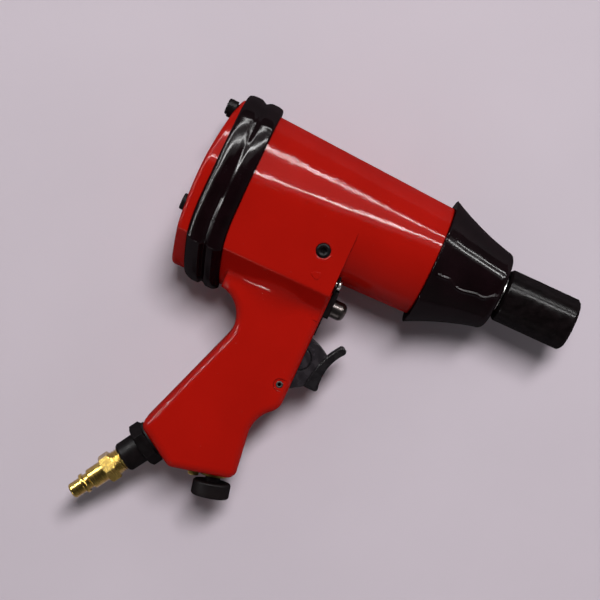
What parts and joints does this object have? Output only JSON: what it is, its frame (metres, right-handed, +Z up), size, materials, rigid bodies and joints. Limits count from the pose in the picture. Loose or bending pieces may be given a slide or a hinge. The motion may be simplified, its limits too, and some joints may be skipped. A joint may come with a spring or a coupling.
{
  "type": "air impact wrench",
  "caption": "Pistol-grip air impact wrench on its side, with a vane motor, swinging hammers, square drive, socket, finger trigger, reverse pin, power knob and air plug.",
  "frame": {"origin": "on the surface the tool lies on, straight below the spindle, in the middle of the flat on the bumper's front ridge", "axes": "+X along the spindle to the drive end, +Y from the handle towards the tool's top, +Z up, out of the tool's right side"},
  "size_m": [0.2091, 0.2291, 0.0715],
  "materials": {
    "red_enamel": "gloss enamel on die-cast aluminium",
    "black_rubber": "satin moulded rubber",
    "black_steel": "black oxide",
    "bare_steel": "ground steel",
    "zinc_steel": "bright zinc plate",
    "motor_iron": "machined iron",
    "brass": "turned brass",
    "trigger_grey": "dark grey die casting",
    "black_plastic": "moulded, dark grey",
    "fibre": "resin-bonded fibre",
    "nylon": "black nylon"
  },
  "bodies": {
    "tool": {"housing": "red_enamel", "rear_cover": "red_enamel", "cover_gasket": "fibre", "cover_screws": "black_steel", "bumper": "black_rubber", "rear_end_plate": "motor_iron", "motor_cylinder": "motor_iron", "front_end_plate": "motor_iron", "cylinder_dowel": "bare_steel", "rear_bearing_outer_race": "bare_steel", "rear_bearing_balls": "bare_steel", "front_bearing_outer_race": "bare_steel", "front_bearing_balls": "bare_steel", "anvil_bushing": "brass", "nose_boot": "black_rubber", "trigger_pin": "bare_steel", "throttle_seat": "brass", "throttle_spring": "bare_steel", "valve_plate": "black_plastic", "plate_screws": "zinc_steel", "oil_plug": "black_steel", "regulator_bush": "brass", "passage_plug": "brass", "inlet_washer": "nylon", "inlet_bushing": "black_steel", "inlet_screen": "bare_steel", "air_plug": "brass", "exhaust_silencer": "brass"},
    "motor": {"rotor": "bare_steel", "rotor_vanes": "fibre", "rear_bearing_inner_race": "bare_steel", "front_bearing_inner_race": "bare_steel", "hammer_cage": "bare_steel", "rear_hammer": "bare_steel", "front_hammer": "bare_steel", "hammer_pins": "bare_steel"},
    "drive": {"anvil": "bare_steel", "socket_ring": "bare_steel"},
    "socket": {"impact_socket": "black_steel"},
    "trigger_lever": {"trigger": "trigger_grey"},
    "throttle": {"throttle_valve": "bare_steel"},
    "reverse": {"reverse_valve": "bare_steel"},
    "regulator": {"regulator_knob": "black_plastic", "regulator_stem": "bare_steel"}
  },
  "joints": [
    {"name": "motor_spin", "type": "hinge", "parent": "tool", "child": "motor", "pos_m": [0.0262, 0, 0.03572], "axis": [1, 0, 0], "continuous": true},
    {"name": "drive_spin", "type": "hinge", "parent": "tool", "child": "drive", "pos_m": [0.1262, 0, 0.03572], "axis": [1, 0, 0], "continuous": true},
    {"name": "socket_pull", "type": "slide", "parent": "drive", "child": "socket", "axis": [1, 0, 0], "range_m": [0, 0.018]},
    {"name": "trigger_pull", "type": "hinge", "parent": "tool", "child": "trigger_lever", "pos_m": [0.0613, -0.0898, 0.03572], "axis": [0, 0, 1], "range_deg": [0, 12], "stiffness_Nm_per_rad": 1, "springref_deg": -8.59},
    {"name": "throttle_open", "type": "slide", "parent": "tool", "child": "throttle", "axis": [-1, 0, 0], "range_m": [0, 0.0034], "deforming": ["throttle_spring"]},
    {"name": "reverse_push", "type": "slide", "parent": "tool", "child": "reverse", "axis": [-1, 0, 0], "range_m": [0, 0.005]},
    {"name": "regulator_turn", "type": "hinge", "parent": "tool", "child": "regulator", "pos_m": [0.0499, -0.1469, 0.03572], "axis": [0.2334, -0.9724, 0], "range_deg": [-135, 135]}
  ],
  "couplings": [
    {"joint": "drive_spin", "follows": "motor_spin", "ratio": 1},
    {"joint": "throttle_open", "follows": "trigger_pull", "m_per_rad": 0.0158}
  ]
}
